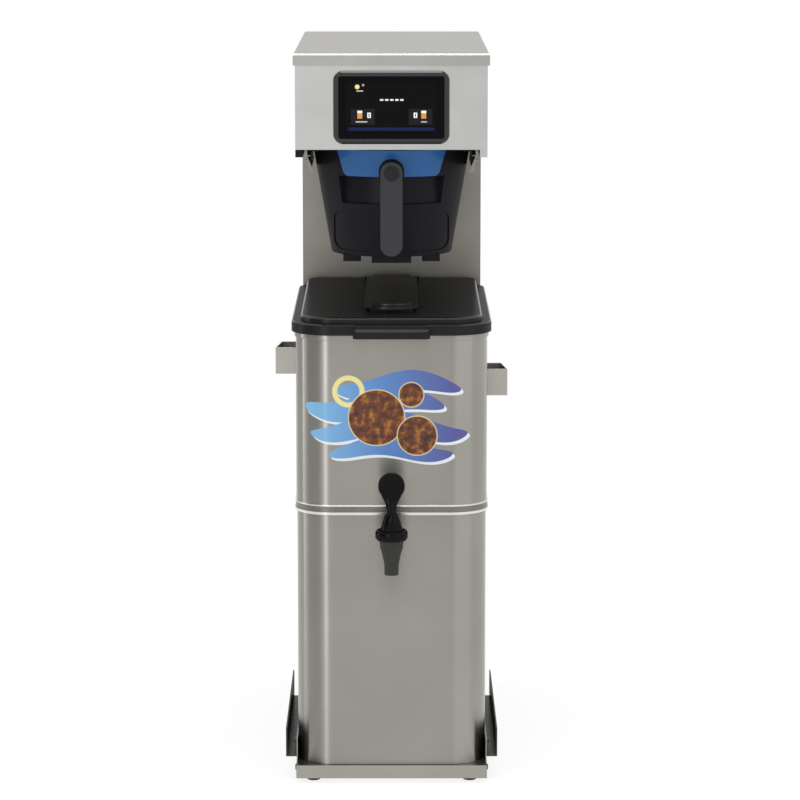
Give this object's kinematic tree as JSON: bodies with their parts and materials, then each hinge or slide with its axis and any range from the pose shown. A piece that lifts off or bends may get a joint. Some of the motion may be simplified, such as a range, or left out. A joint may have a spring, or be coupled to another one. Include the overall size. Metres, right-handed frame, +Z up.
{
  "type": "iced tea brewer",
  "caption": "Narrow counter-top iced tea brewer: head with display, slide-out brew cone, column, base, and a tall lidded tea dispenser with a hinged flap and a lever tap.",
  "frame": {"origin": "on the counter, under the middle of the whole machine's box", "axes": "+Z up, the front with the display and the tap faces -Y, +X to the viewer's right when facing the front"},
  "size_m": [0.286, 0.6088, 0.892],
  "materials": {
    "housing_steel": "horizontally brushed stainless sheet",
    "base_plate_steel": "mill finish stainless sheet",
    "front_steel": "finely brushed stainless sheet",
    "cover_steel": "finely brushed stainless sheet",
    "foot_rubber": "moulded rubber",
    "plated_fasteners": "bright stainless",
    "channel_black": "smooth black plastic",
    "bezel_grey": "dark grey moulded plastic",
    "display_glass": "black touch glass",
    "display_module": "display module",
    "circuit_board": "solder-masked board",
    "brass": "machined brass",
    "spray_steel": "pressed stainless",
    "silicone_hose": "translucent silicone",
    "valve_plastic": "glass-filled nylon",
    "tank_steel": "welded stainless",
    "electrical_plastic": "moulded nylon",
    "rocker_red": "moulded rocker",
    "cone_plastic": "dark grey moulded plastic",
    "label_blue": "blue moulded plate",
    "handle_grey": "dark grey moulded plastic",
    "badge_grey": "blank disc",
    "basket_wire": "stainless wire",
    "dispenser_steel": "vertically brushed stainless sheet",
    "lid_black": "satin black moulded plastic",
    "tap_smoke": "smoke grey moulded plastic",
    "tap_black": "black moulded plastic",
    "cup_silicone": "silicone",
    "nut_nylon": "nylon"
  },
  "bodies": {
    "machine": {"base_pan": "housing_steel", "base_bottom_plate": "base_plate_steel", "rubber_feet": "foot_rubber", "foot_studs": "plated_fasteners", "left_side_channel": "channel_black", "right_side_channel": "channel_black", "side_screws": "plated_fasteners", "column_shell": "housing_steel", "column_screws": "plated_fasteners", "rear_panel": "housing_steel", "panel_screws": "plated_fasteners", "head_body": "housing_steel", "head_front_panel": "front_steel", "head_top_cover": "cover_steel", "rail_end_cap": "channel_black", "left_cone_rail": "housing_steel", "right_cone_rail": "housing_steel", "display_bezel": "bezel_grey", "display_glass": "display_glass", "display_module": "display_module", "control_board": "circuit_board", "board_standoffs": "brass", "spray_head": "spray_steel", "spray_head_nut": "brass", "spray_hose": "silicone_hose", "dispense_valve": "valve_plastic", "heating_tank": "tank_steel", "heating_tank_lid": "tank_steel", "heating_element": "tank_steel", "temperature_probe": "tank_steel", "level_probe": "tank_steel", "tank_shelf": "base_plate_steel", "inlet_valve": "valve_plastic", "inlet_hose": "silicone_hose", "water_inlet_fitting": "brass", "terminal_block": "electrical_plastic", "cord_gland": "electrical_plastic", "switch_housing": "electrical_plastic"},
    "cone": {"brew_cone": "cone_plastic", "cone_label": "label_blue", "cone_handle": "handle_grey", "handle_badge": "badge_grey", "handle_screws": "plated_fasteners", "filter_basket": "basket_wire"},
    "dispenser": {"tea_tank": "dispenser_steel", "dispenser_skirt": "dispenser_steel", "left_strap_handle": "dispenser_steel", "right_strap_handle": "dispenser_steel", "tap_body": "tap_smoke", "tap_collar": "tap_black", "tap_pin": "plated_fasteners", "shank_nut": "nut_nylon", "shank_washers": "cup_silicone"},
    "lid": {"dispenser_lid": "lid_black", "flap_pin": "plated_fasteners"},
    "flap": {"lid_flap": "lid_black"},
    "lever": {"tap_lever": "tap_black"},
    "stem": {"tap_stem": "plated_fasteners", "seat_cup": "cup_silicone"},
    "rocker": {"switch_rocker": "rocker_red"}
  },
  "joints": [
    {"name": "brew_cone_slide", "type": "slide", "parent": "machine", "child": "cone", "axis": [0, -1, 0], "range_m": [0, 0.23]},
    {"name": "dispenser_slide", "type": "slide", "parent": "machine", "child": "dispenser", "axis": [0, -1, 0], "range_m": [0, 0.4]},
    {"name": "lid_lift", "type": "slide", "parent": "dispenser", "child": "lid", "axis": [0, 0, 1], "range_m": [0, 0.025]},
    {"name": "flap_hinge", "type": "hinge", "parent": "lid", "child": "flap", "pos_m": [0, 0.1236, 0.5791], "axis": [-1, 0, 0], "range_deg": [0, 9]},
    {"name": "tap_lever_hinge", "type": "hinge", "parent": "dispenser", "child": "lever", "pos_m": [0, -0.2846, 0.3203], "axis": [1, 0, 0], "range_deg": [0, 15], "stiffness_Nm_per_rad": 0.4},
    {"name": "tap_stem_slide", "type": "slide", "parent": "dispenser", "child": "stem", "axis": [0, 0, 1], "range_m": [0, 0.003]},
    {"name": "rocker_hinge", "type": "hinge", "parent": "machine", "child": "rocker", "pos_m": [0, 0.2854, 0.16], "axis": [1, 0, 0], "range_deg": [0, 14]}
  ],
  "couplings": [
    {"joint": "tap_stem_slide", "follows": "tap_lever_hinge", "m_per_rad": 0.0114}
  ]
}
